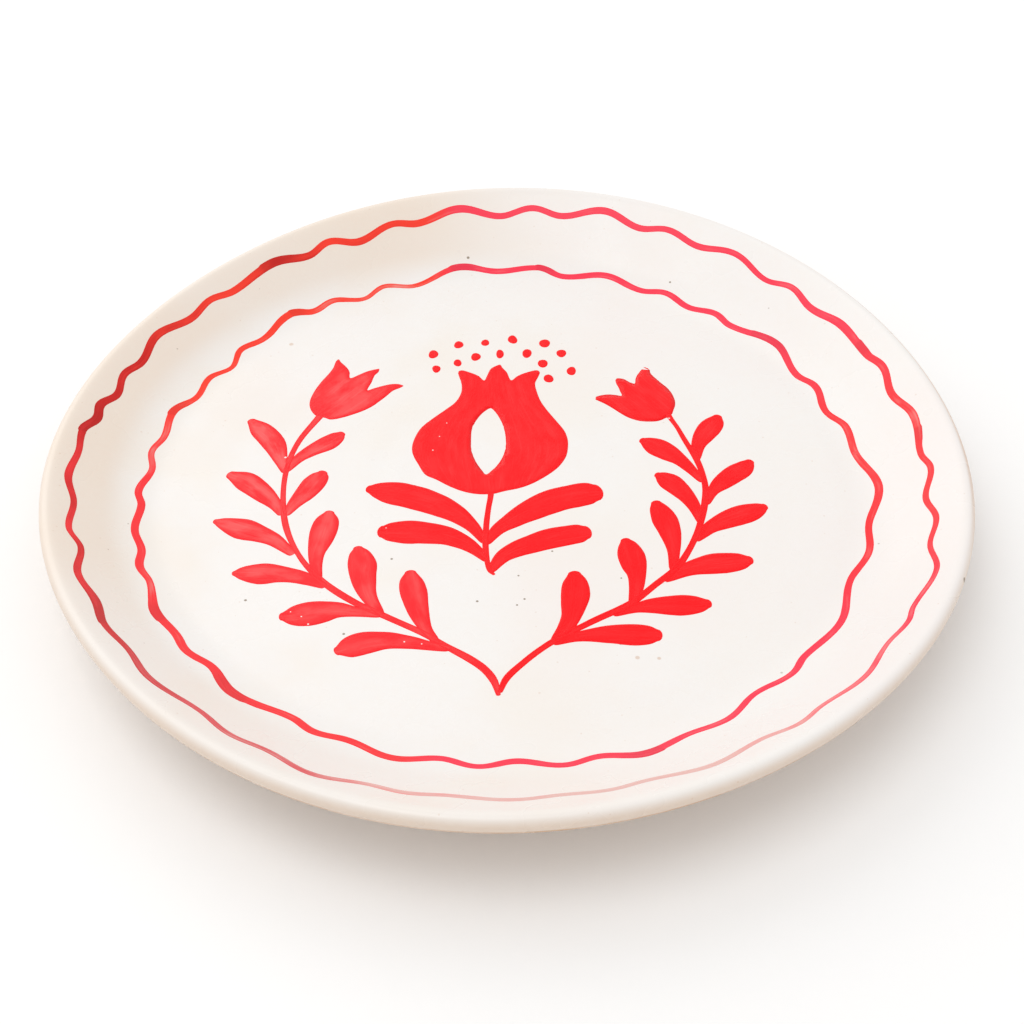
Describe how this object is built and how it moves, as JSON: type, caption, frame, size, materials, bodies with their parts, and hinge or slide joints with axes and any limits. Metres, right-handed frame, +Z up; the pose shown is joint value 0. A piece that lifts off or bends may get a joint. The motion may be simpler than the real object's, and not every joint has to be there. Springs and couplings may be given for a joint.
{
  "type": "plate",
  "caption": "Round ceramic dinner plate with a shallow sloping wall, rounded lip, foot ring, and a hand painted red flower motif inside two wavy lines.",
  "frame": {"origin": "on the table, under the plate's centre", "axes": "+Z up out of the plate; +Y towards the top of the painted motif (the seeds over the pomegranate); +X to the motif's right"},
  "size_m": [0.2576, 0.2644, 0.0301],
  "materials": {
    "glaze": "satin warm white glaze with sparse iron specks",
    "vermilion": "brushed vermilion underglaze paint, satin gloss",
    "thin_red": "the same paint laid thinner, satin gloss",
    "ring_red": "crimson brush line, satin gloss"
  },
  "bodies": {
    "root": {"plate_body": "glaze", "outer_wavy_line": "ring_red", "inner_wavy_line": "ring_red", "pomegranate": "vermilion", "centre_stem": "vermilion", "centre_leaf_upper_left": "vermilion", "centre_leaf_lower_left": "vermilion", "centre_leaf_upper_right": "vermilion", "centre_leaf_lower_right": "vermilion", "left_tulip": "thin_red", "right_tulip": "vermilion", "left_stem": "thin_red", "left_outer_leaf_1": "thin_red", "left_outer_leaf_2": "thin_red", "left_outer_leaf_3": "thin_red", "left_outer_leaf_4": "thin_red", "left_outer_leaf_5": "thin_red", "left_outer_leaf_6": "thin_red", "left_inner_leaf_1": "thin_red", "left_inner_leaf_2": "thin_red", "left_inner_leaf_3": "thin_red", "left_inner_leaf_4": "thin_red", "left_inner_leaf_5": "thin_red", "right_stem": "vermilion", "right_outer_leaf_1": "vermilion", "right_outer_leaf_2": "vermilion", "right_outer_leaf_3": "vermilion", "right_outer_leaf_4": "vermilion", "right_outer_leaf_5": "vermilion", "right_outer_leaf_6": "vermilion", "right_inner_leaf_1": "vermilion", "right_inner_leaf_2": "vermilion", "right_inner_leaf_3": "vermilion", "right_inner_leaf_4": "vermilion", "right_inner_leaf_5": "vermilion", "seed_1": "vermilion", "seed_2": "vermilion", "seed_3": "vermilion", "seed_4": "vermilion", "seed_5": "vermilion", "seed_6": "vermilion", "seed_7": "vermilion", "seed_8": "vermilion", "seed_9": "vermilion", "seed_10": "vermilion", "seed_11": "vermilion", "seed_12": "vermilion", "seed_13": "vermilion", "seed_14": "vermilion"}
  },
  "joints": []
}
